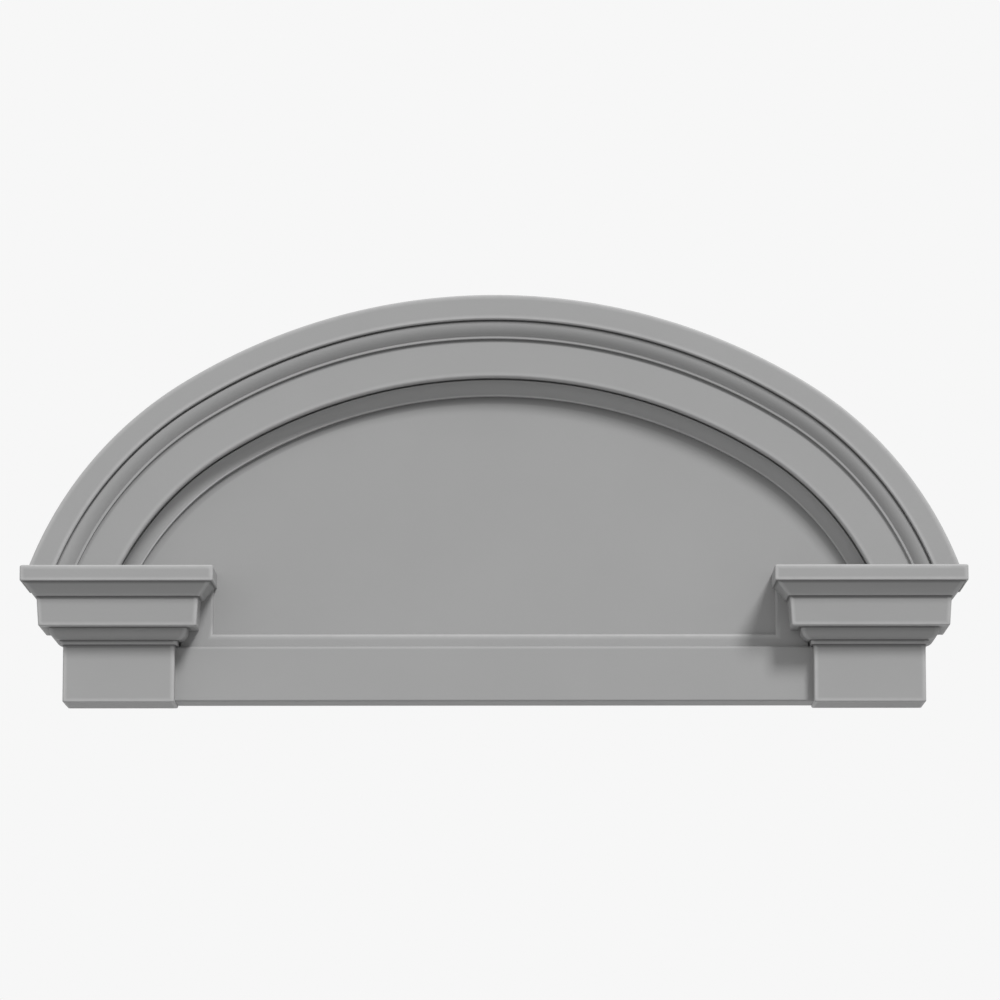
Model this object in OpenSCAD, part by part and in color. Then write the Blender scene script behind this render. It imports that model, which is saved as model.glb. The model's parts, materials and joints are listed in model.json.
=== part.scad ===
// Arched pediment with a broken base cornice, moulded in one piece to hang flat over a door.
// The wall is the plane y = 0 and the front faces -Y. The springing line, where the arch
// meets the tops of the two end blocks, is z = 0. The origin is its middle, on the wall.

/* [Overall] */
// Width over the top fillets of the two end blocks
width = 1520; // [1200:10:1900]
// Height from the undersides of the end blocks to the crown
height = 663; // [520:1:800]
// Depth from the wall to the front of the top fillets
depth = 160; // [130:1:200]

/* [End blocks] */
// Height of an end block, cornice and necking together
block_h = 215; // [175:1:260]
// Width of a block's plain necking
neck_w = 180; // [140:1:220]
// Height of the small fillet on the necking
bead_h = 7; // [5:0.5:12]
// How far the small fillet stands out from the necking
bead_out = 4.5; // [2:0.5:8]
// Height of the ovolo under the corona
ovolo_h = 15; // [14:0.5:24]
// How far the ovolo swells out from its foot
ovolo_out = 14; // [8:0.5:18]
// How far the ovolo's foot stands out from the small fillet
ovolo_foot = 2; // [0:0.5:4]
// Height of the plain lip between the ovolo and the soffit
lip_h = 4; // [3:0.5:9]
// Width of the corona's soffit
soffit_w = 16.5; // [10:0.5:24]
// Height of the corona
corona_h = 48; // [35:1:55]
// How far the corona's face leans out from its foot to its top
corona_batter = 3; // [0:0.5:5]
// Width of the drip step at the foot of the splay
drip_w = 4; // [2:0.5:8]
// Height of the splay under the top fillet
splay_h = 22; // [16:1:28]
// How far the splay leans out
splay_out = 17; // [12:0.5:24]
// Width of the step under the top fillet
fillet_step = 4; // [2:0.5:8]
// Height of the top fillet
fillet_h = 25.5; // [20:0.5:32]

/* [Arch] */
// How far the arch's outer edge stands in from a block's outer end at the springing line
arch_inset = 8; // [2:1:20]
// How far the centres of the two flank curves lie below the springing line
flank_drop = 209; // [170:1:255]
// How far the arch's outer face lies behind the front of the top fillets
face_setback = 48; // [40:1:56]
// Width of the arch's outer face
face_w = 40.5; // [33:0.5:50]
// Width of the quirk, the groove inside the outer face
quirk_w = 3; // [2:0.5:5]
// Depth of the quirk below the outer face
quirk_d = 10; // [8:0.5:12]
// How far the arch's ovolo lies behind the outer face
arch_ovolo_setback = 6; // [4:0.5:7.5]
// Width of the arch's ovolo
arch_ovolo_w = 22; // [16:0.5:27]
// How far the arch's ovolo falls back over its width
arch_ovolo_fall = 11.5; // [9:0.5:14]
// Width of the small fillet at the ovolo's foot
arch_bead_w = 4; // [2.5:0.5:7]
// Step from the small fillet down to the arch's flat band
band_step = 4.5; // [3:0.5:7]
// Width of the arch's flat band
band_w = 63; // [50:1:76]
// Step from the flat band down to the head of the cove
band_soffit = 10; // [6:0.5:14]
// Width of the cove's quirk, the groove inside the flat band
cove_quirk_w = 3; // [2:0.5:5]
// Depth of the cove's quirk below the head of the cove
cove_quirk_d = 8; // [4:0.5:10]
// Width of the cove that falls to the panel
cove_w = 19.5; // [15:0.5:24]
// Width of the thin fillet round the panel
panel_fillet_w = 3; // [2:0.5:5]
// Height of the thin fillet above the panel
panel_fillet_h = 7; // [4:0.5:9]

/* [Tympanum] */
// How far the bottom rail lies behind the face of the necking
rail_setback = 24; // [18:1:30]
// Height of the bottom rail
rail_h = 89.5; // [72:0.5:105]
// Height of the rail's underside above the undersides of the blocks
rail_lift = 4; // [0:0.5:8]
// Step from the rail back to the border
border_step = 11; // [7:0.5:15]
// Width of the border below the panel
border_w = 21; // [14:0.5:28]
// Width of the border between the panel and the side of each necking
border_side_w = 60; // [46:0.5:64]
// Step from the border back to the panel
panel_step = 10; // [6:0.5:14]

/* [Hidden] */
$fn = 180;
// Steps in a quarter of a moulding's curve
curve_steps = 10;
// Steps round the hidden rim of the panel
field_steps = 40;
// How far a piece is sunk into the one that carries it
seat = 8;
// Sides and hypotenuse of the right triangle that the arch's centres and joints lie on
lean_x = 28;
lean_z = 45;
lean_r = 53;

// Heights on an end block, from its underside up to the springing line
neck_bottom = -block_h;
fillet_bottom = -fillet_h;
splay_bottom = fillet_bottom - splay_h;
corona_bottom = splay_bottom - corona_h;
ovolo_top = corona_bottom - lip_h;
ovolo_bottom = ovolo_top - ovolo_h;
neck_top = ovolo_bottom - bead_h;

// How far each member of the block's cornice stands out from the necking
ovolo_in_x = bead_out + ovolo_foot;
ovolo_out_x = ovolo_in_x + ovolo_out;
corona_foot_x = ovolo_out_x + soffit_w;
corona_top_x = corona_foot_x + corona_batter;
splay_foot_x = corona_top_x + drip_w;
splay_top_x = splay_foot_x + splay_out;
cornice_out = splay_top_x + fillet_step;

// Places of the blocks and depths of the flat faces
neck_d = depth - cornice_out;
block_x = width / 2 - cornice_out - neck_w / 2;
rail_d = neck_d - rail_setback;
border_d = rail_d - border_step;
panel_d = border_d - panel_step;
rail_bottom = neck_bottom + rail_lift;
rail_top = rail_bottom + rail_h;
panel_bottom = rail_top + border_w;
panel_side = block_x - neck_w / 2 - border_side_w;

// The arch: a crown curve and two flank curves that meet on common tangents. Its outer edge
// passes through the crown and both feet, which fixes how much longer the crown's radius is.
// The centres lie on a right triangle with whole sides, and lengths go to a hundredth, so the
// curves' ends meet exactly.
function tidy(v) = round(v * 100) / 100;
rise = tidy(height - block_h);
foot_x = width / 2 - arch_inset;
crown_top = rise + flank_drop;
lean = lean_x / lean_r;
sink = 1 - lean_z / lean_r;
quad_a = lean * lean - sink * sink;
quad_b = foot_x * lean - crown_top * sink;
quad_c = foot_x * foot_x - crown_top * crown_top + flank_drop * flank_drop;
triangle_k = tidy((quad_b - sqrt(quad_b * quad_b - quad_a * quad_c)) / quad_a / lean_r);
crown_r = crown_top + lean_z * triangle_k;
flank_r = crown_r - lean_r * triangle_k;
flank_x = lean_x * triangle_k;
crown_z = rise - crown_r;
wedge_k = ceil(crown_r / 20);

// Depths and distances from the arch's outer edge
face_d = depth - face_setback;
arch_ovolo_d = face_d - arch_ovolo_setback;
arch_bead_d = arch_ovolo_d - arch_ovolo_fall;
band_d = arch_bead_d - band_step;
cove_top_d = band_d - band_soffit;
panel_fillet_d = panel_d + panel_fillet_h;
ovolo_head_in = face_w + quirk_w;
ovolo_foot_in = ovolo_head_in + arch_ovolo_w;
band_in = ovolo_foot_in + arch_bead_w;
cove_quirk_in = band_in + band_w;
cove_in = cove_quirk_in + cove_quirk_w;
cove_foot_in = cove_in + cove_w;
panel_in = cove_foot_in + panel_fillet_w;

// Quarter of an ellipse about a centre, from one angle to another
function quarter(centre, a, b, from, to) = [
    for (i = [0:curve_steps])
        let (t = from + (to - from) * i / curve_steps)
            centre + [a * cos(t), b * sin(t)]
];

// A shallow ovolo from its level head: it falls away faster and faster, as a parabola does
function shallow_ovolo(head, w, fall) = [
    for (i = [0:curve_steps])
        let (t = i / curve_steps)
            head + [w * t, -fall * t * t]
];

// Section of a block's cornice and necking: [distance out from the necking, height]
block_section = concat(
    [[0, neck_bottom], [0, neck_top], [bead_out, neck_top], [bead_out, ovolo_bottom]],
    quarter([ovolo_in_x, ovolo_top], ovolo_out, ovolo_h, -90, 0),
    [
        [ovolo_out_x, corona_bottom],
        [corona_foot_x, corona_bottom],
        [corona_top_x, splay_bottom],
        [splay_foot_x, splay_bottom],
        [splay_top_x, fillet_bottom],
        [cornice_out, fillet_bottom],
        [cornice_out, 0]
    ]
);

// Section of the arch: [distance in from its outer edge, depth from the wall]
arch_section = concat(
    [
        [0, 0],
        [0, face_d],
        [face_w, face_d],
        [face_w, face_d - quirk_d],
        [ovolo_head_in, face_d - quirk_d]
    ],
    shallow_ovolo([ovolo_head_in, arch_ovolo_d], arch_ovolo_w, arch_ovolo_fall),
    [
        [band_in, arch_bead_d],
        [band_in, band_d],
        [cove_quirk_in, band_d],
        [cove_quirk_in, cove_top_d - cove_quirk_d],
        [cove_in, cove_top_d - cove_quirk_d]
    ],
    quarter(
        [cove_foot_in, cove_top_d], cove_w, cove_top_d - panel_fillet_d, 180, 270
    ),
    [[panel_in, panel_fillet_d], [panel_in, 0]]
);

// The arch's section turned right round one of its centres
module arch_ring(radius) {
    rotate([90, 0, 0])
        rotate_extrude($fn = 360)
            polygon([for (p = arch_section) [tidy(radius - p[0]), tidy(p[1])]]);
}

// A block in front of the wall with that outline, to keep a part of a ring
module keep(points) {
    rotate([90, 0, 0])
        linear_extrude(depth)
            polygon(points);
}

// The crown and both flanks, each the part of a ring between the lines where the curves meet.
// The flanks are cut off level where they are sunk into the end blocks.
module arch() {
    reach_x = lean_x * wedge_k;
    reach_z = lean_z * wedge_k;
    foot = flank_drop - seat;
    translate([0, 0, crown_z])
        intersection() {
            arch_ring(crown_r);
            keep([[0, 0], [reach_x, reach_z], [-reach_x, reach_z]]);
        }
    for (side = [-1, 1])
        translate([side * flank_x, 0, -flank_drop])
            intersection() {
                arch_ring(flank_r);
                keep([[0, 0], [side * reach_x, reach_z], [side * reach_x, 0]]);
                keep([[0, foot], [0, reach_z], [side * reach_x, reach_z], [side * reach_x, foot]]);
            }
}

// Point at a distance in from the arch's outer edge, where its normal leans by an angle
function on_arch(turn, inward) =
    abs(turn) <= atan(lean_x / lean_z)
        ? [0, crown_z] + (crown_r - inward) * [sin(turn), cos(turn)]
        : [sign(turn) * flank_x, -flank_drop] + (flank_r - inward) * [sin(turn), cos(turn)];

// Outline of the panel above the springing line. Its rim is buried in the arch all round.
module arched_field() {
    inward = panel_in - seat;
    foot_turn = acos((flank_drop - seat) / (flank_r - inward));
    polygon([for (i = [0:field_steps]) on_arch(foot_turn * (2 * i / field_steps - 1), inward)]);
}

// A plate against the wall, as thick as the depth of its face
module plate(face_depth) {
    rotate([90, 0, 0])
        linear_extrude(face_depth)
            children();
}

// A band as wide as the distance between the blocks' middles
module cross_band(face_depth, bottom, top) {
    plate(face_depth)
        translate([-block_x, bottom])
            square([2 * block_x, top - bottom]);
}

// Panel, its stepped border and the bottom rail
module tympanum() {
    side_w = block_x - panel_side;
    plate(panel_d)
        arched_field();
    cross_band(panel_d, rail_bottom, 0);
    cross_band(border_d, rail_bottom, panel_bottom);
    cross_band(rail_d, rail_bottom, rail_top);
    for (side = [-1, 1])
        plate(border_d)
            translate([side * (panel_side + side_w / 2) - side_w / 2, panel_bottom - seat])
                square([side_w, seat - panel_bottom - seat]);
}

// One end block: the cornice returns round both sides on true mitres
module end_block() {
    section_w = neck_w + 2 * cornice_out;
    intersection() {
        plate(depth)
            polygon(concat(
                [for (p = block_section) [neck_w / 2 + p[0], p[1]]],
                [for (i = [len(block_section) - 1:-1:0])
                    [-neck_w / 2 - block_section[i][0], block_section[i][1]]]
            ));
        translate([-section_w / 2, 0, 0])
            rotate([90, 0, 90])
                linear_extrude(section_w)
                    polygon(concat(
                        [[0, 0], [0, neck_bottom]],
                        [for (p = block_section) [-neck_d - p[0], p[1]]]
                    ));
    }
}

// The whole casting
module pediment() {
    color("darkgray")
        union() {
            arch();
            tympanum();
            for (side = [-1, 1])
                translate([side * block_x, 0, 0])
                    end_block();
        }
}

pediment();
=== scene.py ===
"""Looks of an arched pediment with a broken base cornice: one moulded casting in grey primer.

The wall is the plane y = 0, the front faces -Y, and z = 0 is the springing line, where the arch
meets the tops of the two end blocks. All lengths are in metres.

A node tree sweeps the arch. The end blocks, the panel, its border and the rail are lofted from
sections with eased corners, and all of them are then joined into one casting.
"""

import json
import math

import bmesh
import bpy
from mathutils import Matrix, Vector


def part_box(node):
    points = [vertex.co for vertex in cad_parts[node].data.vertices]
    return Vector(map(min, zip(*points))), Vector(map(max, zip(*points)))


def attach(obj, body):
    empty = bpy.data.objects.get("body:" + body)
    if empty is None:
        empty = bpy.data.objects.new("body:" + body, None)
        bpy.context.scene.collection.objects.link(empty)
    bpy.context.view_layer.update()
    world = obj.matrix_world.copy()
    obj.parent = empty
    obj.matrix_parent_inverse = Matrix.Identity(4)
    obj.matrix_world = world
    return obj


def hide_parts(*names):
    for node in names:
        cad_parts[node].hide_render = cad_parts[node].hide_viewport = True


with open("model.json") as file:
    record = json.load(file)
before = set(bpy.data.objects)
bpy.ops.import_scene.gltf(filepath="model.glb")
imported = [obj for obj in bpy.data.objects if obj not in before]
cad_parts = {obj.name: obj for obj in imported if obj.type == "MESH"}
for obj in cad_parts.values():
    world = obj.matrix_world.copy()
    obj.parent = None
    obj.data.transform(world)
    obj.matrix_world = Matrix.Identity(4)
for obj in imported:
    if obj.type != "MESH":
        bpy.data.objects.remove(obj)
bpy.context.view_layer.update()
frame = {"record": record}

bl_info = {
    "name": "Arched Pediment",
    "version": (1, 0, 0),
    "blender": (4, 5, 0),
    "location": "View3D > Sidebar > Pediment",
    "description": "Builds the finished casting of an arched pediment round its packed solid",
    "category": "Object",
}

NODE = "pediment"
LOW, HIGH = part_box(NODE)
MM = 0.001

# The record's finish, and the name of the material that shows it.
COAT = frame["record"]["materials"][0]
PRIMER = "Grey Primer"

# The mask on each point for painted light: 1 on an eased arris, where a highlight is painted,
# -1 in an inner corner, where shade is painted, and 0 on a flat face.
PAINTED_LIGHT_MASK = "edge_ease"


# ---------------------------------------------------------------- settings

def length(name, description, default_mm):
    """A length property whose default is written in millimetres."""
    return bpy.props.FloatProperty(
        name=name, description=description, default=default_mm * MM, min=0.0,
        unit="LENGTH", precision=4,
    )


def angle(name, description, default):
    """An angle property, whose default is in radians."""
    return bpy.props.FloatProperty(
        name=name, description=description, default=default, subtype="ANGLE",
    )


def count(name, description, default):
    """A whole number of steps along a curve."""
    return bpy.props.IntProperty(name=name, description=description, default=default, min=24)


def share(name, description, default, soft_max=1.0):
    """A plain number from 0 up."""
    return bpy.props.FloatProperty(
        name=name, description=description, default=default, min=0.0, soft_max=soft_max,
        precision=3,
    )


def grey(name, description, default):
    """A colour property, in linear values."""
    return bpy.props.FloatVectorProperty(
        name=name, description=description, default=default, size=3, min=0.0, max=1.0,
        subtype="COLOR",
    )


class PedimentBlockSizes(bpy.types.PropertyGroup):
    """Sizes of an end block and the cornice that returns round it"""

    neck_w: length("Necking width", "Width of the plain necking", 180)
    bead_h: length("Small fillet height", "Height of the small fillet on the necking", 7)
    bead_out: length("Small fillet", "How far the small fillet stands out", 4.5)
    ovolo_h: length("Ovolo height", "Height of the ovolo under the corona", 15)
    ovolo_out: length("Ovolo swell", "How far the ovolo swells out from its foot", 14)
    ovolo_foot: length("Ovolo foot", "How far the ovolo's foot stands out", 2)
    lip_h: length("Lip height", "Height of the plain lip over the ovolo", 4)
    soffit_w: length("Soffit width", "Width of the corona's soffit", 16.5)
    corona_h: length("Corona height", "Height of the corona", 48)
    corona_batter: length("Corona lean", "How far the corona leans out to its top", 3)
    drip_w: length("Drip step", "Width of the step at the foot of the splay", 4)
    splay_h: length("Splay height", "Height of the splay", 22)
    splay_out: length("Splay lean", "How far the splay leans out", 17)
    fillet_step: length("Fillet step", "Width of the step under the top fillet", 4)
    fillet_h: length("Fillet height", "Height of the top fillet", 25.5)


class PedimentArchSizes(bpy.types.PropertyGroup):
    """Sizes of the arch's curves and of its moulded section"""

    foot_inset: length("Foot inset", "How far the arch stands in from a block's end", 8)
    crown_half_angle: angle("Crown half angle", "Half of the angle that the crown curve covers",
                            math.atan2(28, 45))
    flank_drop: length("Flank drop", "How far the flank centres lie below the springing", 209)
    face_setback: length("Face setback", "How far the outer face lies behind the fillets", 48)
    face_w: length("Face width", "Width of the outer face", 40.5)
    quirk_w: length("Quirk width", "Width of the groove inside the outer face", 3)
    quirk_d: length("Quirk depth", "Depth of the groove below the outer face", 10)
    ovolo_setback: length("Ovolo setback", "How far the ovolo lies behind the outer face", 6)
    ovolo_w: length("Ovolo width", "Width of the ovolo", 22)
    ovolo_fall: length("Ovolo fall", "How far the ovolo falls back over its width", 11.5)
    bead_w: length("Small fillet width", "Width of the small fillet at the ovolo's foot", 4)
    band_step: length("Band step", "Step from the small fillet to the flat band", 4.5)
    band_w: length("Band width", "Width of the flat band", 63)
    band_soffit: length("Band soffit", "Step from the flat band to the head of the cove", 10)
    cove_quirk_w: length("Cove quirk width", "Width of the groove inside the flat band", 3)
    cove_quirk_d: length("Cove quirk depth", "Depth of that groove below the head of the cove", 8)
    cove_w: length("Cove width", "Width of the cove that falls to the panel", 19.5)
    rim_w: length("Rim width", "Width of the thin fillet round the panel", 3)
    rim_h: length("Rim height", "Height of the thin fillet above the panel", 7)
    path_steps: count("Path steps", "Steps along the whole arch", 220)


class PedimentTympanumSizes(bpy.types.PropertyGroup):
    """Sizes of the panel, its stepped border and the bottom rail"""

    rail_setback: length("Rail setback", "How far the rail lies behind the necking's face", 24)
    rail_h: length("Rail height", "Height of the bottom rail", 89.5)
    rail_lift: length("Rail lift", "Height of the rail's underside above the blocks'", 4)
    border_step: length("Border step", "Step from the rail back to the border", 11)
    border_w: length("Border width", "Width of the border below the panel", 21)
    border_side_w: length("Border side width", "Width of the border beside each necking", 60)
    panel_step: length("Panel step", "Step from the border back to the panel", 10)
    panel_steps: count("Panel steps", "Steps along the panel's arched edge", 96)


class PedimentFinish(bpy.types.PropertyGroup):
    """The casting's eased arrises and its sprayed primer"""

    arris_r: length("Arris radius", "Radius of an eased outer arris", 3)
    band_arris_r: length("Band arris radius", "Radius inside the arch's flat band", 5)
    small_arris_r: length("Small arris radius", "Radius of an arris on a small member", 1.4)
    crease_r: length("Crease radius", "Radius left in an inner corner", 1)
    soft_arris_r: length("Soft arris radius", "Radius of an arris on the rail and border", 4.5)
    # Painted highlight beside an arris, and painted shade beside an inner corner, fade out over
    # this width.
    halo_w: length("Arris halo", "Width over which painted highlight and shade fade beside a corner", 5)
    # Painted shadow on the panel's margin, where it comes out from under the arch.
    panel_shadow_w: length("Panel shadow", "Width of the painted shadow on the panel's margin", 12)
    # The painted highlight on the border's arris fades out over this height up each side.
    highlight_fade: length("Highlight fade", "Height over which the border arris's painted highlight fades", 20)
    primer: grey("Primer", "Colour of the primer coat", COAT["base_color"])
    # The arris colour is a painted highlight, and the crease colour is painted shade.
    arris: grey("Arris", "Colour of the painted highlight over an arris", (0.43, 0.43, 0.43))
    crease_shade: grey("Crease", "Colour of the painted shade in an inner corner", (0.15, 0.15, 0.15))
    # Painted shade in the arch's creases, lightest at its feet, where the fill light reaches in.
    shade_height: length("Shade height", "Height at which the arch's creases are fully dark", 300)
    foot_shade: share("Foot shade", "Darkness of the arch's creases at its feet", 0.1)
    mottle: share("Mottle", "How much the coat's tone varies in broad patches", 0.1)
    patch_size: length("Patch size", "Size of those patches", 200)
    peel: share("Orange peel", "Strength of the coat's fine orange peel", 0.12)
    peel_depth: length("Orange peel depth", "Depth of the orange peel", 0.6)
    sag: share("Sag", "Strength of the moulded skin's broad sag", 0.25)
    sag_depth: length("Sag depth", "Depth of the sag", 1.2)
    roughness: share("Roughness", "Roughness of the matt coat", 0.62)


class PedimentStage(bpy.types.PropertyGroup):
    """Floor, lamps and camera"""

    door_height: length("Door height", "Height of the floor below the block undersides", 2100)
    floor_reach: length("Floor reach", "How far the floor runs to each side", 12000)
    floor: grey("Floor", "Colour of the pale floor", (0.80, 0.80, 0.80))
    floor_bounce: grey("Floor bounce", "Colour of the light the floor sends up", (0.38, 0.38, 0.38))
    backdrop: grey("Backdrop", "Pale colour behind the casting", (0.93, 0.93, 0.93))
    fill: share("Fill", "Strength of the even studio light from the left", 0.68)
    ambient: share("Ambient", "Strength of the even studio light from the right", 0.27)
    key: share("Key", "Strength of the key lamp", 2.45, 5.0)
    key_turn: angle("Key turn", "Angle of the key lamp to the right of the front",
                    math.radians(28))
    key_rise: angle("Key rise", "Angle of the key lamp above the level", math.radians(45))
    key_spread: angle("Key spread", "Angle that the key lamp fills, which softens shadows",
                      math.radians(14))
    distance: length("Camera distance", "From the camera to the front of the fillets", 8000)
    camera_drop: length("Camera drop", "Height of the springing line above the camera", 1053)
    camera_side: length("Camera side", "How far the camera stands to the right", 66)
    aim_height: length("Aim height", "Height of the aimed point over the springing line", 104)
    aim_side: length("Aim side", "How far the aim lies to the right of the middle", 10)
    view_width: length("View width", "Width that the camera sees at the fillets' front", 1588)


GROUPS = {
    "pediment_block": PedimentBlockSizes,
    "pediment_arch": PedimentArchSizes,
    "pediment_tympanum": PedimentTympanumSizes,
    "pediment_finish": PedimentFinish,
    "pediment_stage": PedimentStage,
}


# ---------------------------------------------------------------- sections

# Straight pieces in a moulding's curve and in an eased corner.
CURVE_STEPS = 12
ARC_STEPS = 4

# Radii at which an arris gets its full painted highlight, and an inner corner its full painted
# shade.
USUAL_ARRIS = 3 * MM
USUAL_CREASE = 1 * MM

# The most of a side that an easing or a halo takes. A halo has a point of its own only where
# it reaches that many times as far as the easing.
MOST_EASING = 0.45
MOST_HALO = 0.5
LEAST_HALO = 1.3

# How far pieces run into each other, the margin on a block's top and underside, and the
# distance within which a point counts as lying on a plane.
SEAT = 8 * MM
CAP_MARGIN = 12 * MM
TOUCH = 0.01 * MM


def quarter(centre, a, b, start, end):
    """Points of a quarter ellipse about a centre, from one angle to another in degrees."""
    turns = [math.radians(start + (end - start) * i / CURVE_STEPS)
             for i in range(CURVE_STEPS + 1)]
    return [(centre[0] + a * math.cos(t), centre[1] + b * math.sin(t), 0.0) for t in turns]


def shallow_ovolo(depth, inward, w, fall):
    """Points of the arch's ovolo from its level head: it falls back as a parabola does."""
    steps = [i / CURVE_STEPS for i in range(CURVE_STEPS + 1)]
    return [(depth - fall * t * t, inward + w * t, 0.0) for t in steps]


def turning(corners):
    """1 for an outline that runs anticlockwise, and -1 for one that runs clockwise."""
    following = corners[1:] + corners[:1]
    area = sum(a[0] * b[1] - b[0] * a[1] for a, b in zip(corners, following))
    return math.copysign(1.0, area)


def rounding(start, corner, end, opening):
    """Points of the round arc from start to end that touches both sides of a corner."""
    result = []
    for step in range(ARC_STEPS + 1):
        t = step / ARC_STEPS
        w0, w1, w2 = (1 - t) ** 2, 2 * t * (1 - t) * math.sin(opening / 2), t * t
        result.append((start * w0 + corner * w1 + end * w2) / (w0 + w1 + w2))
    return result


def eased(corners, halo_w, closed):
    """Rounds the corners of a section and marks them.

    A corner is (u, v, radius). The result is a list of (u, v, mark): the mark is 1 on an outer
    arris of the usual radius and less on a finer or a rounder one, -1 in an inner corner or
    less in a finer one, and 0 elsewhere and at a halo's width from either. The mark sets the
    painted highlight on an arris and the painted shade in an inner corner.
    """
    size = len(corners)
    way = turning(corners)
    result = []
    for i, (u, v, radius) in enumerate(corners):
        is_end = not closed and i in (0, size - 1)
        if is_end or radius <= 0.0:
            result.append((u, v, 0.0))
            continue
        here = Vector((u, v))
        to_before = Vector(corners[i - 1][:2]) - here
        to_after = Vector(corners[(i + 1) % size][:2]) - here
        len_before, len_after = to_before.length, to_after.length
        to_before.normalize()
        to_after.normalize()
        opening = to_before.angle(to_after)
        trim = min(radius / math.tan(opening / 2), MOST_EASING * len_before,
                   MOST_EASING * len_after)
        cross = to_before.x * to_after.y - to_before.y * to_after.x
        if cross * way < 0:
            mark = min(radius / USUAL_ARRIS, USUAL_ARRIS / radius)
        else:
            mark = -min(radius / USUAL_CREASE, 1.0)
        halo_before = min(trim + halo_w, MOST_HALO * len_before)
        halo_after = min(trim + halo_w, MOST_HALO * len_after)
        if halo_before > LEAST_HALO * trim:
            result.append((*(here + to_before * halo_before), 0.0))
        start, end = here + to_before * trim, here + to_after * trim
        result += [(*place, mark) for place in rounding(start, here, end, opening)]
        if halo_after > LEAST_HALO * trim:
            result.append((*(here + to_after * halo_after), 0.0))
    return result


def block_levels(block):
    """Heights and outward steps of the members of a block's cornice."""
    level = {"neck_bottom": LOW.z, "fillet": -block.fillet_h}
    level["splay"] = level["fillet"] - block.splay_h
    level["corona"] = level["splay"] - block.corona_h
    level["ovolo_top"] = level["corona"] - block.lip_h
    level["ovolo"] = level["ovolo_top"] - block.ovolo_h
    level["bead"] = level["ovolo"] - block.bead_h
    out = {"bead": block.bead_out}
    out["ovolo_foot"] = out["bead"] + block.ovolo_foot
    out["ovolo"] = out["ovolo_foot"] + block.ovolo_out
    out["corona_foot"] = out["ovolo"] + block.soffit_w
    out["corona_top"] = out["corona_foot"] + block.corona_batter
    out["splay_foot"] = out["corona_top"] + block.drip_w
    out["splay_top"] = out["splay_foot"] + block.splay_out
    out["fillet"] = out["splay_top"] + block.fillet_step
    return level, out


def block_middle(block):
    """How far the middle of a block lies from the middle of the pediment."""
    _, out = block_levels(block)
    return HIGH.x - out["fillet"] - block.neck_w / 2


def block_section(block, finish):
    """Section of a block from its underside up: (distance out from the necking, height)."""
    level, out = block_levels(block)
    big, small, inner = finish.arris_r, finish.small_arris_r, finish.crease_r
    corners = [
        (-CAP_MARGIN, level["neck_bottom"], 0.0),
        (0.0, level["neck_bottom"], big),
        (0.0, level["bead"], inner),
        (out["bead"], level["bead"], small),
        (out["bead"], level["ovolo"], inner),
    ]
    corners += quarter(
        (out["ovolo_foot"], level["ovolo_top"]), block.ovolo_out, block.ovolo_h, -90, 0
    )
    corners += [
        (out["ovolo"], level["corona"], inner),
        (out["corona_foot"], level["corona"], big),
        (out["corona_top"], level["splay"], inner),
        (out["splay_foot"], level["splay"], small),
        (out["splay_top"], level["fillet"], inner),
        (out["fillet"], level["fillet"], big),
        (out["fillet"], 0.0, big),
        (-CAP_MARGIN, 0.0, 0.0),
    ]
    return eased(corners, finish.halo_w, closed=False)


def depths(scene):
    """Depths of the flat faces from the wall, outermost first."""
    block, arch, tympanum = scene.pediment_block, scene.pediment_arch, scene.pediment_tympanum
    _, out = block_levels(block)
    depth = {"fillet": -LOW.y}
    depth["neck"] = depth["fillet"] - out["fillet"]
    depth["rail"] = depth["neck"] - tympanum.rail_setback
    depth["border"] = depth["rail"] - tympanum.border_step
    depth["panel"] = depth["border"] - tympanum.panel_step
    depth["face"] = depth["fillet"] - arch.face_setback
    depth["ovolo"] = depth["face"] - arch.ovolo_setback
    depth["bead"] = depth["ovolo"] - arch.ovolo_fall
    depth["band"] = depth["bead"] - arch.band_step
    depth["cove"] = depth["band"] - arch.band_soffit
    depth["rim"] = depth["panel"] + arch.rim_h
    return depth


def arch_widths(arch):
    """Distances in from the arch's outer edge at which its members end."""
    inward = {"face": arch.face_w}
    inward["quirk"] = inward["face"] + arch.quirk_w
    inward["ovolo"] = inward["quirk"] + arch.ovolo_w
    inward["bead"] = inward["ovolo"] + arch.bead_w
    inward["band"] = inward["bead"] + arch.band_w
    inward["cove_quirk"] = inward["band"] + arch.cove_quirk_w
    inward["cove"] = inward["cove_quirk"] + arch.cove_w
    inward["rim"] = inward["cove"] + arch.rim_w
    return inward


def arch_section(scene):
    """Closed section of the arch: (depth from the wall, distance in from the outer edge)."""
    arch, finish = scene.pediment_arch, scene.pediment_finish
    depth, inward = depths(scene), arch_widths(arch)
    big, small, inner = finish.arris_r, finish.small_arris_r, finish.crease_r
    corners = [
        (0.0, 0.0, 0.0),
        (depth["face"], 0.0, big),
        (depth["face"], inward["face"], big),
        (depth["face"] - arch.quirk_d, inward["face"], inner),
        (depth["face"] - arch.quirk_d, inward["quirk"], inner),
    ]
    corners += shallow_ovolo(depth["ovolo"], inward["quirk"], arch.ovolo_w, arch.ovolo_fall)
    corners += [
        (depth["bead"], inward["bead"], small),
        (depth["band"], inward["bead"], inner),
        (depth["band"], inward["band"], finish.band_arris_r),
        (depth["cove"] - arch.cove_quirk_d, inward["band"], inner / 2),
        (depth["cove"] - arch.cove_quirk_d, inward["cove_quirk"], inner / 2),
    ]
    corners += quarter(
        (depth["cove"], inward["cove"]), depth["cove"] - depth["rim"], arch.cove_w, -90, -180
    )
    corners += [
        (depth["rim"], inward["rim"], big),
        (0.0, inward["rim"], 0.0),
    ]
    return eased(corners, finish.halo_w, closed=True)


def crease_shading(finish, level):
    """How dark the painted shade in the arch's creases is at a height: least at its feet."""
    return finish.foot_shade + (1.0 - finish.foot_shade) * min(level / finish.shade_height, 1.0)


# ---------------------------------------------------------------- meshes

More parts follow.
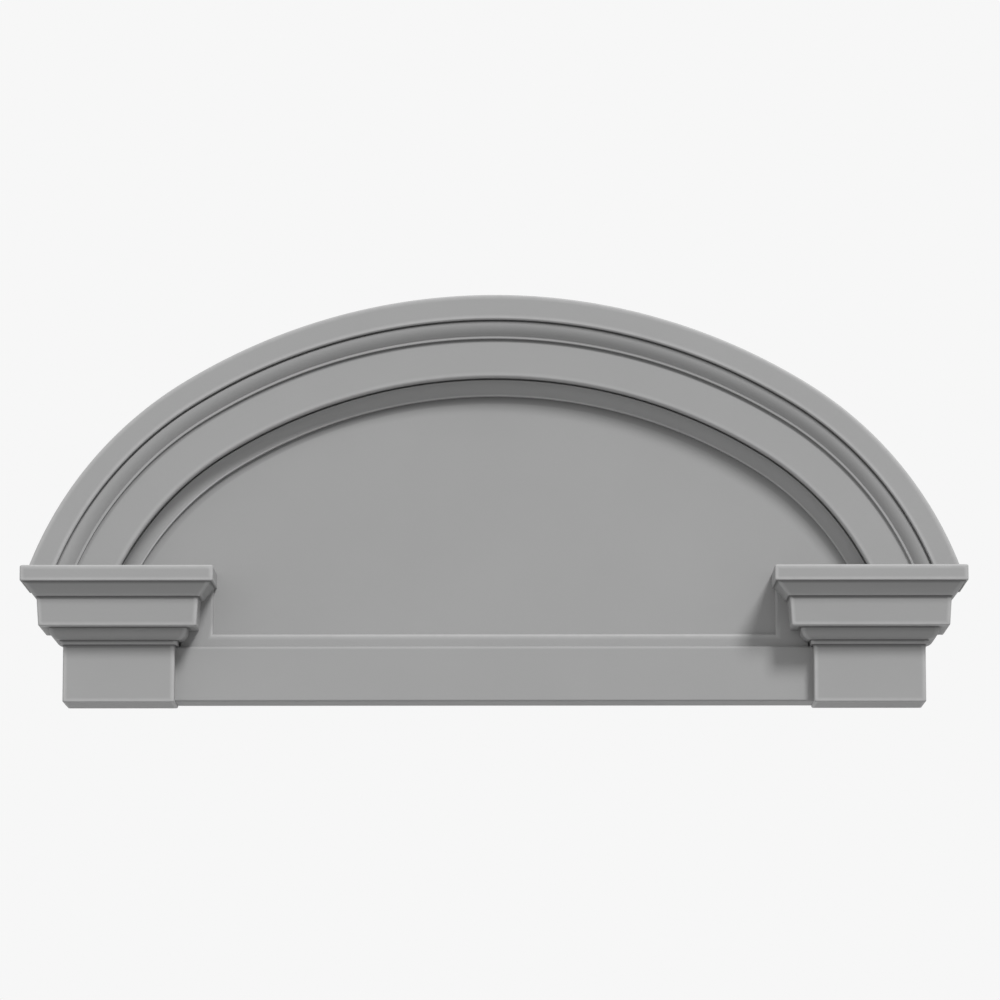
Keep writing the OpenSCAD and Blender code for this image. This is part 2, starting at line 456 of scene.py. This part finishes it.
def mesh_object(name, verts, faces=(), edges=(), marks=None):
    """A new object from plain data, linked to the scene, with the edge mask on its points."""
    mesh = bpy.data.meshes.new(name)
    mesh.from_pydata([tuple(v) for v in verts], list(edges), list(faces))
    if marks is not None:
        layer = mesh.attributes.new(PAINTED_LIGHT_MASK, "FLOAT", "POINT")
        layer.data.foreach_set("value", marks)
    mesh.update()
    made = bpy.data.objects.new(name, mesh)
    bpy.context.scene.collection.objects.link(made)
    return made


def outward(made, merge=0.0):
    """Merges points that lie closer than merge, then turns every face of the shell outwards."""
    work = bmesh.new()
    work.from_mesh(made.data)
    if merge > 0.0:
        bmesh.ops.remove_doubles(work, verts=work.verts, dist=merge)
    bmesh.ops.recalc_face_normals(work, faces=work.faces)
    work.to_mesh(made.data)
    work.free()
    return made


def loft(name, rings, marks):
    """A closed shell over a stack of closed rings, with a cap on the first and the last."""
    size = len(rings[0])
    verts = [p for ring in rings for p in ring]
    faces = []
    for row in range(len(rings) - 1):
        for i in range(size):
            j = (i + 1) % size
            faces.append((row * size + i, row * size + j, (row + 1) * size + j,
                          (row + 1) * size + i))
    faces.append(tuple(range(size)))
    faces.append(tuple((len(rings) - 1) * size + i for i in range(size)))
    return outward(mesh_object(name, verts, faces, marks=[m for ring in marks for m in ring]))


def strongest(a, b):
    """The stronger of two marks, where an inner corner goes before an arris."""
    if a < 0 or b < 0:
        return min(a, b)
    return max(a, b)


class ArchCurve:
    """Crown and flank curves that meet on common tangents, through the crown and both feet."""

    def __init__(self, arch):
        rise, foot = HIGH.z, HIGH.x - arch.foot_inset
        self.half_angle, self.drop = arch.crown_half_angle, arch.flank_drop
        crown_top = rise + self.drop
        lean, sink = math.sin(self.half_angle), 1 - math.cos(self.half_angle)
        # The gap between the radii, with which the flank curve goes through the foot, solves
        # a * gap ** 2 - 2 * b * gap + c = 0.
        a = lean ** 2 - sink ** 2
        b = foot * lean - crown_top * sink
        c = foot ** 2 - crown_top ** 2 + self.drop ** 2
        gap = (b - math.sqrt(b * b - a * c)) / a
        self.flank_r = crown_top - gap * sink
        self.crown_r = self.flank_r + gap
        self.flank_x = gap * lean
        self.crown_z = rise - self.crown_r

    def foot_turn(self, inward=0.0):
        """Lean of the normal where the curve, that far in, is sunk into the block."""
        return math.acos((self.drop - SEAT) / (self.flank_r - inward))

    def point(self, turn, inward):
        """(x, z) on the curve, that far in, where its normal leans by turn."""
        if abs(turn) <= self.half_angle:
            radius, centre = self.crown_r - inward, (0.0, self.crown_z)
        else:
            side = math.copysign(self.flank_x, turn)
            radius, centre = self.flank_r - inward, (side, -self.drop)
        return centre[0] + radius * math.sin(turn), centre[1] + radius * math.cos(turn)


# ---------------------------------------------------------------- node trees

def new_tree(name, kind, inputs, outputs):
    """A node tree of a kind, with named sockets, each a pair (name, what it carries)."""
    tree = bpy.data.node_groups.new(name, kind)
    for way, sockets in (("INPUT", inputs), ("OUTPUT", outputs)):
        for label, carries in sockets:
            tree.interface.new_socket(label, in_out=way, socket_type="NodeSocket" + carries)
    return tree


class Wiring:
    """Short calls for adding and joining the nodes of one tree."""

    def __init__(self, tree):
        self.tree = tree
        self.source = None

    def node(self, kind, links=None, **values):
        """Adds a node, sets its properties, and joins or sets its inputs."""
        made = self.tree.nodes.new(kind)
        for key, value in values.items():
            setattr(made, key, value)
        for key, value in (links or {}).items():
            if isinstance(value, bpy.types.NodeSocket):
                self.tree.links.new(value, made.inputs[key])
            else:
                made.inputs[key].default_value = value
        return made

    def math(self, operation, a, b=0.0):
        """The output of a math node."""
        return self.node("ShaderNodeMath", {0: a, 1: b}, operation=operation).outputs[0]

    def noise(self, place, scale, detail):
        """The value of a noise pattern with so many waves in a metre."""
        made = self.node("ShaderNodeTexNoise",
                         {"Vector": place, "Scale": scale, "Detail": detail})
        return made.outputs["Fac"]

    def colour(self, factor, a, b):
        """A colour between a, at 0, and b, at 1."""
        mixed = self.node("ShaderNodeMix", {"Factor": factor, "A": a, "B": b},
                          data_type="RGBA")
        return mixed.outputs["Result"]

    def given(self, label):
        """One of the tree's named inputs."""
        if self.source is None:
            self.source = self.tree.nodes.new("NodeGroupInput")
        return self.source.outputs[label]

    def result(self, **sockets):
        """Joins the tree's outputs."""
        end = self.tree.nodes.new("NodeGroupOutput")
        for label, value in sockets.items():
            self.tree.links.new(value, end.inputs[label])


def arch_tree():
    """Sweeps a section along the crown and flank curves, which the tree works out itself."""
    tree = new_tree("Arch Moulding", "GeometryNodeTree", [
        ("Section", "Object"),
        ("Crown Radius", "Float"),
        ("Crown Centre Height", "Float"),
        ("Crown Half Angle", "Float"),
        ("Flank Radius", "Float"),
        ("Flank Centre Side", "Float"),
        ("Flank Centre Height", "Float"),
        ("Foot Angle", "Float"),
        ("Steps", "Int"),
        ("Shade Height", "Float"),
        ("Foot Shade", "Float"),
        ("Material", "Material"),
    ], [("Geometry", "Geometry")])
    wire = Wiring(tree)
    given = wire.given

    # Points on the path: each one's lean runs evenly from foot to foot.
    points = wire.math("ADD", given("Steps"), 1.0)
    line = wire.node("GeometryNodeMeshLine", {"Count": points}, mode="OFFSET")
    index = wire.node("GeometryNodeInputIndex").outputs[0]
    along = wire.math("DIVIDE", index, given("Steps"))
    signed = wire.math("SUBTRACT", wire.math("MULTIPLY", along, 2.0), 1.0)
    turn = wire.math("MULTIPLY", signed, given("Foot Angle"))
    on_flank = wire.math("GREATER_THAN", wire.math("ABSOLUTE", turn), given("Crown Half Angle"))
    side = wire.math("MULTIPLY", wire.math("SIGN", turn), given("Flank Centre Side"))

    def either(crown, flank):
        mixed = wire.node("ShaderNodeMix", {"Factor": on_flank, "A": crown, "B": flank})
        return mixed.outputs["Result"]

    radius = either(given("Crown Radius"), given("Flank Radius"))
    centre_x = wire.math("MULTIPLY", on_flank, side)
    centre_z = either(given("Crown Centre Height"), given("Flank Centre Height"))
    x = wire.math("ADD", centre_x, wire.math("MULTIPLY", radius, wire.math("SINE", turn)))
    z = wire.math("ADD", centre_z, wire.math("MULTIPLY", radius, wire.math("COSINE", turn)))
    place = wire.node("ShaderNodeCombineXYZ", {"X": x, "Z": z}).outputs[0]
    moved = wire.node("GeometryNodeSetPosition",
                      {"Geometry": line.outputs["Mesh"], "Position": place})

    # The section, swept along the path, with its ends closed.
    path = wire.node("GeometryNodeMeshToCurve", {"Mesh": moved.outputs[0]})
    upright = wire.node("GeometryNodeSetCurveNormal", {"Curve": path.outputs[0]}, mode="Z_UP")
    section = wire.node("GeometryNodeObjectInfo", {"Object": given("Section")})
    profile = wire.node("GeometryNodeMeshToCurve", {"Mesh": section.outputs["Geometry"]})
    swept = wire.node("GeometryNodeCurveToMesh", {
        "Curve": upright.outputs[0], "Profile Curve": profile.outputs[0], "Fill Caps": True,
    })

    # Painted shade in the creases, which fades towards the feet.
    place = wire.node("GeometryNodeInputPosition").outputs[0]
    level = wire.node("ShaderNodeSeparateXYZ", {"Vector": place}).outputs["Z"]
    painted_shade = wire.node("ShaderNodeMapRange", {"Value": level, "From Max": given("Shade Height"),
                                            "To Min": given("Foot Shade")}).outputs["Result"]
    mark = wire.node("GeometryNodeInputNamedAttribute", {"Name": PAINTED_LIGHT_MASK},
                     data_type="FLOAT").outputs["Attribute"]
    marked = wire.node("GeometryNodeStoreNamedAttribute", {
        "Geometry": swept.outputs[0], "Name": PAINTED_LIGHT_MASK,
        "Value": wire.math("MAXIMUM", mark, wire.math("MULTIPLY", mark, painted_shade)),
    }, data_type="FLOAT", domain="POINT")
    real = wire.node("GeometryNodeRealizeInstances", {"Geometry": marked.outputs[0]})
    painted = wire.node("GeometryNodeSetMaterial",
                        {"Geometry": real.outputs[0], "Material": given("Material")})
    wire.result(Geometry=painted.outputs[0])
    return tree


def plain_mesh(made, name):
    """Turns an object's evaluated geometry into a plain mesh object and removes the source."""
    graph = bpy.context.evaluated_depsgraph_get()
    mesh = bpy.data.meshes.new_from_object(made.evaluated_get(graph))
    mesh.name = name
    result = bpy.data.objects.new(name, mesh)
    bpy.context.scene.collection.objects.link(result)
    bpy.data.objects.remove(made)
    return result


def set_inputs(modifier, values):
    """Sets a modifier's named inputs, by the identifiers of its tree's sockets."""
    for item in modifier.node_group.interface.items_tree:
        if item.in_out == "INPUT" and item.name in values:
            modifier[item.identifier] = values[item.name]


# ---------------------------------------------------------------- primer

# The middle of a noise pattern's range, and the waves in a metre of the noise that breaks up
# the painted arris highlight, of the orange peel and of the skin's broad sag.
NOISE_MIDDLE = 0.5
HIGHLIGHT_NOISE_SCALE = 60.0
PEEL_SCALE = 420.0
SAG_SCALE = 14.0

# How far the painted shade spreads out of an inner corner: below 1, it spreads further.
SHADE_SPREAD = 0.6

# How much the roughness changes from patch to patch, and how much smoother an arris is.
PATCH_ROUGHNESS = 0.12
ARRIS_SMOOTHNESS = 0.08


def painted_light_group():
    """Shader group: a base colour with painted highlights on arrises and painted shade in creases,
    mottled.
    """
    tree = new_tree("Coat Variation", "ShaderNodeTree", [
        ("Coat", "Color"),
        ("Arris", "Color"),
        ("Crease", "Color"),
        ("Mottle", "Float"),
        ("Patch Size", "Float"),
        ("Roughness", "Float"),
    ], [("Color", "Color"), ("Roughness", "Float")])
    wire = Wiring(tree)
    given = wire.given
    mark = wire.node("ShaderNodeAttribute", attribute_name=PAINTED_LIGHT_MASK).outputs["Fac"]
    place = wire.node("ShaderNodeTexCoord").outputs["Object"]

    # A painted highlight on each arris, broken up by noise, and painted shade in the creases.
    arris = wire.node("ShaderNodeClamp", {"Value": mark}).outputs[0]
    highlight_amount = wire.noise(place, HIGHLIGHT_NOISE_SCALE, detail=3.0)
    highlighted = wire.math("MULTIPLY", arris, wire.math("ADD", highlight_amount, NOISE_MIDDLE))
    inner = wire.node("ShaderNodeClamp", {"Value": wire.math("MULTIPLY", mark, -1.0)}).outputs[0]
    shaded = wire.math("POWER", inner, SHADE_SPREAD)
    colour = wire.colour(shaded, wire.colour(highlighted, given("Coat"), given("Arris")),
                         given("Crease"))

    # Broad patches change the tone and the roughness a little.
    patch = wire.noise(place, wire.math("DIVIDE", 1.0, given("Patch Size")), detail=2.0)
    centred = wire.math("SUBTRACT", patch, NOISE_MIDDLE)
    shade = wire.math("ADD", 1.0, wire.math("MULTIPLY", centred, given("Mottle")))
    mottled = wire.node("ShaderNodeVectorMath", {0: colour, "Scale": shade}, operation="SCALE")
    rough = wire.math("ADD", given("Roughness"), wire.math("MULTIPLY", centred, PATCH_ROUGHNESS))
    smoother = wire.math("MULTIPLY", arris, ARRIS_SMOOTHNESS)
    wire.result(Color=mottled.outputs[0], Roughness=wire.math("SUBTRACT", rough, smoother))
    return tree


def primer_material(finish):
    """Matt grey primer sprayed on a moulded skin, with a fine orange peel, painted highlights on
    arrises and painted shade in creases, made once.
    """
    material = bpy.data.materials.get(PRIMER)
    if material is not None:
        return material
    material = bpy.data.materials.new(PRIMER)
    material.use_nodes = True
    tree = material.node_tree
    shader = tree.nodes["Principled BSDF"]
    wire = Wiring(tree)
    coat = wire.node("ShaderNodeGroup", node_tree=painted_light_group())
    for label, value in (
        ("Coat", (*finish.primer, 1.0)),
        ("Arris", (*finish.arris, 1.0)),
        ("Crease", (*finish.crease_shade, 1.0)),
        ("Mottle", finish.mottle),
        ("Patch Size", finish.patch_size),
        ("Roughness", finish.roughness),
    ):
        coat.inputs[label].default_value = value
    place = wire.node("ShaderNodeTexCoord").outputs["Object"]
    fine = wire.node("ShaderNodeBump", {
        "Height": wire.noise(place, PEEL_SCALE, detail=3.0),
        "Strength": finish.peel, "Distance": finish.peel_depth,
    })
    broad = wire.node("ShaderNodeBump", {
        "Height": wire.noise(place, SAG_SCALE, detail=1.0),
        "Strength": finish.sag, "Distance": finish.sag_depth, "Normal": fine.outputs[0],
    })
    tree.links.new(coat.outputs["Color"], shader.inputs["Base Color"])
    tree.links.new(coat.outputs["Roughness"], shader.inputs["Roughness"])
    tree.links.new(broad.outputs[0], shader.inputs["Normal"])
    return material


def looked_at(wire):
    """1 where the eye or a reflection looks, 0 where only light is gathered."""
    path = wire.node("ShaderNodeLightPath")
    return wire.math("MAXIMUM", path.outputs["Is Camera Ray"],
                     wire.math("MAXIMUM", path.outputs["Is Glossy Ray"],
                               path.outputs["Is Transmission Ray"]))


# ---------------------------------------------------------------- operators

# Points this close are one point, faces that meet at more than this angle keep an edge, and
# the largest faces decide the shading of the points between them.
MERGE = 0.001 * MM
SHARP = math.radians(28)
LARGE_FACES_FIRST = 100

# The studio light has the left's strength, or the right's, where the direction that it comes
# from leans this far to the side. Between them it changes evenly.
SIDE_LEAN = 0.5

# The matt floor, where the lamp's marker stands, and the camera's sensor, in millimetres, and
# furthest sight.
FLOOR_ROUGHNESS = 0.9
LAMP_DISTANCE = 4.0
SENSOR_WIDTH = 36.0
FAR_CLIP = 100.0


class PEDIMENT_OT_arch(bpy.types.Operator):
    """Sweep the moulded arch between the end blocks"""

    bl_idname = "pediment.arch"
    bl_label = "Arch"

    def execute(self, context):
        scene = context.scene
        curve = ArchCurve(scene.pediment_arch)
        section = arch_section(scene)
        size = len(section)
        outline = mesh_object(
            "arch_section", [(u, v, 0.0) for u, v, _ in section],
            edges=[(i, (i + 1) % size) for i in range(size)],
            marks=[mark for _, _, mark in section],
        )
        arch = mesh_object("arch_sweep", [])
        modifier = arch.modifiers.new("Arch Moulding", "NODES")
        modifier.node_group = arch_tree()
        set_inputs(modifier, {
            "Section": outline,
            "Crown Radius": curve.crown_r,
            "Crown Centre Height": curve.crown_z,
            "Crown Half Angle": curve.half_angle,
            "Flank Radius": curve.flank_r,
            "Flank Centre Side": curve.flank_x,
            "Flank Centre Height": -curve.drop,
            "Foot Angle": curve.foot_turn(),
            "Steps": scene.pediment_arch.path_steps,
            "Shade Height": scene.pediment_finish.shade_height,
            "Foot Shade": scene.pediment_finish.foot_shade,
            "Material": primer_material(scene.pediment_finish),
        })
        outward(plain_mesh(arch, "arch"), merge=MERGE)
        bpy.data.objects.remove(outline)
        return {"FINISHED"}


class PEDIMENT_OT_end_blocks(bpy.types.Operator):
    """Build the two end blocks with their mitred cornice returns"""

    bl_idname = "pediment.end_blocks"
    bl_label = "End Blocks"

    def execute(self, context):
        scene = context.scene
        block, finish = scene.pediment_block, scene.pediment_finish
        neck, middle = depths(scene)["neck"], block_middle(block)
        for side, name in ((-1, "left"), (1, "right")):
            rings, marks = [], []
            for out, z, row_mark in block_section(block, finish):
                half, front = block.neck_w / 2 + out, -neck - out
                plan = [(half, 0.0, 0.0), (half, -finish.halo_w, 0.0),
                        (half, front, finish.arris_r), (-half, front, finish.arris_r),
                        (-half, -finish.halo_w, 0.0), (-half, 0.0, 0.0)]
                ring = eased(plan, finish.halo_w, closed=False)
                rings.append([(side * middle + x, y, z) for x, y, _ in ring])
                # The marks paint highlights on the block's arrises and shade in its inner corners.
                marks.append([self.mark(y, z, mark, row_mark) for _, y, mark in ring])
            loft(f"{name}_block", rings, marks)
        return {"FINISHED"}

    def mark(self, y, z, corner_mark, row_mark):
        """A point's mark: none on the wall, and a member's own on the top and the underside."""
        if abs(y) < TOUCH:
            return 0.0
        if min(abs(z), abs(z - LOW.z)) < TOUCH:
            return row_mark
        return strongest(corner_mark, row_mark)


class PEDIMENT_OT_tympanum(bpy.types.Operator):
    """Build the panel, its stepped border and the bottom rail"""

    bl_idname = "pediment.tympanum"
    bl_label = "Tympanum"

    def execute(self, context):
        scene = context.scene
        block, tympanum, finish = (
            scene.pediment_block, scene.pediment_tympanum, scene.pediment_finish
        )
        depth, middle = depths(scene), block_middle(block)
        rail_bottom = LOW.z + tympanum.rail_lift
        rail_top = rail_bottom + tympanum.rail_h
        panel_bottom = rail_top + tympanum.border_w
        panel_side = middle - block.neck_w / 2 - tympanum.border_side_w
        self.panel(scene, depth["panel"], middle, rail_bottom + SEAT)
        self.border(finish, depth["border"], panel_side, panel_bottom, tympanum.border_side_w)
        self.rail(finish, depth["rail"], middle, rail_bottom, rail_top)
        return {"FINISHED"}

    def panel(self, scene, face, middle, bottom):
        """Flat panel: arched above the springing line, straight below it.

        It runs a seat's width under the arch, and its margin has a painted shadow where it comes
        out.
        """
        curve, finish = ArchCurve(scene.pediment_arch), scene.pediment_finish
        rim, steps = arch_widths(scene.pediment_arch)["rim"], scene.pediment_tympanum.panel_steps
        rings, marks = [], []
        for depth, inset, painted_shade in ((0.0, 0.0, 0.0), (face, 0.0, 0.0),
                                   (face, SEAT + finish.crease_r / 2, 1.0),
                                   (face, SEAT + finish.panel_shadow_w, 0.0)):
            inward, side, low = rim - SEAT + inset, middle - inset, bottom + inset
            foot = curve.foot_turn(inward)
            arc = [curve.point(foot * (2 * i / steps - 1), inward) for i in range(steps + 1)]
            outline = [(-side, low), (-side, -SEAT)] + arc + [(side, -SEAT), (side, low)]
            rings.append([(x, -depth, z) for x, z in outline])
            marks.append([-painted_shade * crease_shading(finish, z) if z >= 0.0 else 0.0 for _, z in outline])
        loft("panel", rings, marks)

    def border(self, finish, face, side, bottom, width):
        """Raised border on three sides of the panel, mitred at its two corners.

        Its arris has a painted highlight along the bottom only, which fades up both sides.
        """
        arris = finish.soft_arris_r
        section = eased([(0.0, 0.0, 0.0), (0.0, face, arris), (width - SEAT, face, 0.0),
                         (width - SEAT, 0.0, 0.0)], finish.halo_w, closed=False)
        rings, marks = [], []
        highlight_end = bottom + finish.highlight_fade
        for turn, level, highlight_amount in ((-1, -SEAT, 0.0), (-1, highlight_end, 0.0), (-1, None, 1.0),
                                 (1, None, 1.0), (1, highlight_end, 0.0), (1, -SEAT, 0.0)):
            rings.append([
                (turn * (side + s), -d, bottom - s if level is None else level)
                for s, d, _ in section
            ])
            marks.append([highlight_amount * mark for _, _, mark in section])
        loft("border", rings, marks)

    def rail(self, finish, face, middle, bottom, top):
        """Flat rail between the middles of the two blocks."""
        # The section's marks paint a highlight on the rail's arrises.
        section = eased([(0.0, top, 0.0), (face, top, finish.soft_arris_r),
                         (face, bottom, finish.arris_r), (0.0, bottom, 0.0)],
                        finish.halo_w, closed=False)
        rings = [[(x, -d, z) for d, z, _ in section] for x in (-middle, middle)]
        loft("rail", rings, [[mark for _, _, mark in section]] * 2)


class PEDIMENT_OT_casting(bpy.types.Operator):
    """Join the arch, blocks and tympanum into one casting in grey primer"""

    bl_idname = "pediment.casting"
    bl_label = "Casting"

    def execute(self, context):
        arch = bpy.data.objects["arch"]
        others = [bpy.data.objects[name] for name in
                  ("left_block", "right_block", "panel", "border", "rail")]
        for other in others:
            join = arch.modifiers.new(other.name, "BOOLEAN")
            join.operation = "UNION"
            join.solver = "MANIFOLD"
            join.object = other
        casting = plain_mesh(arch, "casting")
        for other in others:
            bpy.data.objects.remove(other)
        mesh = casting.data
        mesh.materials.clear()
        mesh.materials.append(primer_material(context.scene.pediment_finish))
        mesh.set_sharp_from_angle(angle=SHARP)
        even = casting.modifiers.new("Even Shading", "WEIGHTED_NORMAL")
        even.keep_sharp = True
        even.weight = LARGE_FACES_FIRST
        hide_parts(NODE)
        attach(casting, "root")
        return {"FINISHED"}


class PEDIMENT_OT_stage(bpy.types.Operator):
    """Set the floor, the studio light and the camera"""

    bl_idname = "pediment.stage"
    bl_label = "Stage"

    def execute(self, context):
        scene = context.scene
        stage = scene.pediment_stage
        self.floor(stage)
        self.world(scene, stage)
        self.key(scene, stage)
        self.camera(scene, stage)
        scene.view_settings.view_transform = "Standard"
        return {"FINISHED"}

    def floor(self, stage):
        """A wide pale floor, a door's height below the blocks."""
        reach, level = stage.floor_reach, LOW.z - stage.door_height
        corners = [(-reach, -reach, level), (reach, -reach, level), (reach, reach, level),
                   (-reach, reach, level)]
        floor = mesh_object("floor", corners, [(0, 1, 2, 3)])
        material = bpy.data.materials.new("Pale Floor")
        material.use_nodes = True
        shader = material.node_tree.nodes["Principled BSDF"]
        shader.inputs["Roughness"].default_value = FLOOR_ROUGHNESS
        wire = Wiring(material.node_tree)
        both = wire.colour(looked_at(wire), (*stage.floor_bounce, 1.0), (*stage.floor, 1.0))
        wire.tree.links.new(both, shader.inputs["Base Color"])
        floor.data.materials.append(material)

    def world(self, scene, stage):
        """Soft light, with a strength of its own on each side, before a pale backdrop."""
        world = bpy.data.worlds.new("Studio")
        scene.world = world
        world.use_nodes = True
        tree = world.node_tree
        tree.nodes.clear()
        wire = Wiring(tree)
        towards = wire.node("ShaderNodeTexCoord").outputs["Generated"]
        side = wire.node("ShaderNodeSeparateXYZ", {"Vector": towards}).outputs["X"]
        strength = wire.node("ShaderNodeMapRange", {
            "Value": side, "From Min": -SIDE_LEAN, "From Max": SIDE_LEAN,
            "To Min": stage.fill, "To Max": stage.ambient,
        }).outputs["Result"]
        light = wire.node("ShaderNodeBackground", {"Color": (1.0, 1.0, 1.0, 1.0),
                                                   "Strength": strength})
        pale = wire.node("ShaderNodeBackground", {"Color": (*stage.backdrop, 1.0),
                                                  "Strength": 1.0})
        both = wire.node("ShaderNodeMixShader", {0: looked_at(wire), 1: light.outputs[0],
                                                 2: pale.outputs[0]})
        result = tree.nodes.new("ShaderNodeOutputWorld")
        tree.links.new(both.outputs[0], result.inputs["Surface"])

    def key(self, scene, stage):
        """The key lamp: high on the front right, and soft."""
        lamp = bpy.data.lights.new("key", "SUN")
        lamp.energy = stage.key
        lamp.angle = stage.key_spread
        made = bpy.data.objects.new("key", lamp)
        scene.collection.objects.link(made)
        level = math.cos(stage.key_rise)
        towards = Vector((level * math.sin(stage.key_turn), -level * math.cos(stage.key_turn),
                          math.sin(stage.key_rise)))
        made.rotation_euler = towards.to_track_quat("Z", "Y").to_euler()
        made.location = towards * LAMP_DISTANCE

    def camera(self, scene, stage):
        """Camera in front and below, aimed a little up at the casting."""
        camera = bpy.data.cameras.new("camera")
        made = bpy.data.objects.new("camera", camera)
        scene.collection.objects.link(made)
        made.location = (stage.camera_side, LOW.y - stage.distance, -stage.camera_drop)
        aim = Vector((stage.aim_side, LOW.y, stage.aim_height)) - made.location
        made.rotation_euler = aim.to_track_quat("-Z", "Y").to_euler()
        camera.sensor_width = SENSOR_WIDTH
        camera.lens = camera.sensor_width * stage.distance / stage.view_width
        camera.clip_end = FAR_CLIP
        scene.camera = made


class PEDIMENT_PT_panel(bpy.types.Panel):
    """Lists the pieces and their sizes"""

    bl_idname = "PEDIMENT_PT_panel"
    bl_label = "Arched Pediment"
    bl_space_type = "VIEW_3D"
    bl_region_type = "UI"
    bl_category = "Pediment"

    def draw(self, context):
        for group in GROUPS:
            box = self.layout.box()
            box.label(text=GROUPS[group].__doc__)
            settings = getattr(context.scene, group)
            for name in settings.__annotations__:
                box.prop(settings, name)
        for operator in OPERATORS:
            self.layout.operator(operator.bl_idname)


OPERATORS = (
    PEDIMENT_OT_arch,
    PEDIMENT_OT_end_blocks,
    PEDIMENT_OT_tympanum,
    PEDIMENT_OT_casting,
    PEDIMENT_OT_stage,
)


def register():
    """Adds the settings, operators and panel."""
    for made in (*GROUPS.values(), *OPERATORS, PEDIMENT_PT_panel):
        bpy.utils.register_class(made)
    for name, group in GROUPS.items():
        setattr(bpy.types.Scene, name, bpy.props.PointerProperty(type=group))


def unregister():
    """Takes them away again."""
    for name in GROUPS:
        delattr(bpy.types.Scene, name)
    for made in (PEDIMENT_PT_panel, *reversed(OPERATORS), *reversed(GROUPS.values())):
        bpy.utils.unregister_class(made)


def main():
    """Builds the casting and its stage."""
    register()
    bpy.ops.pediment.arch()
    bpy.ops.pediment.end_blocks()
    bpy.ops.pediment.tympanum()
    bpy.ops.pediment.casting()
    bpy.ops.pediment.stage()


if __name__ == "__main__":
    main()
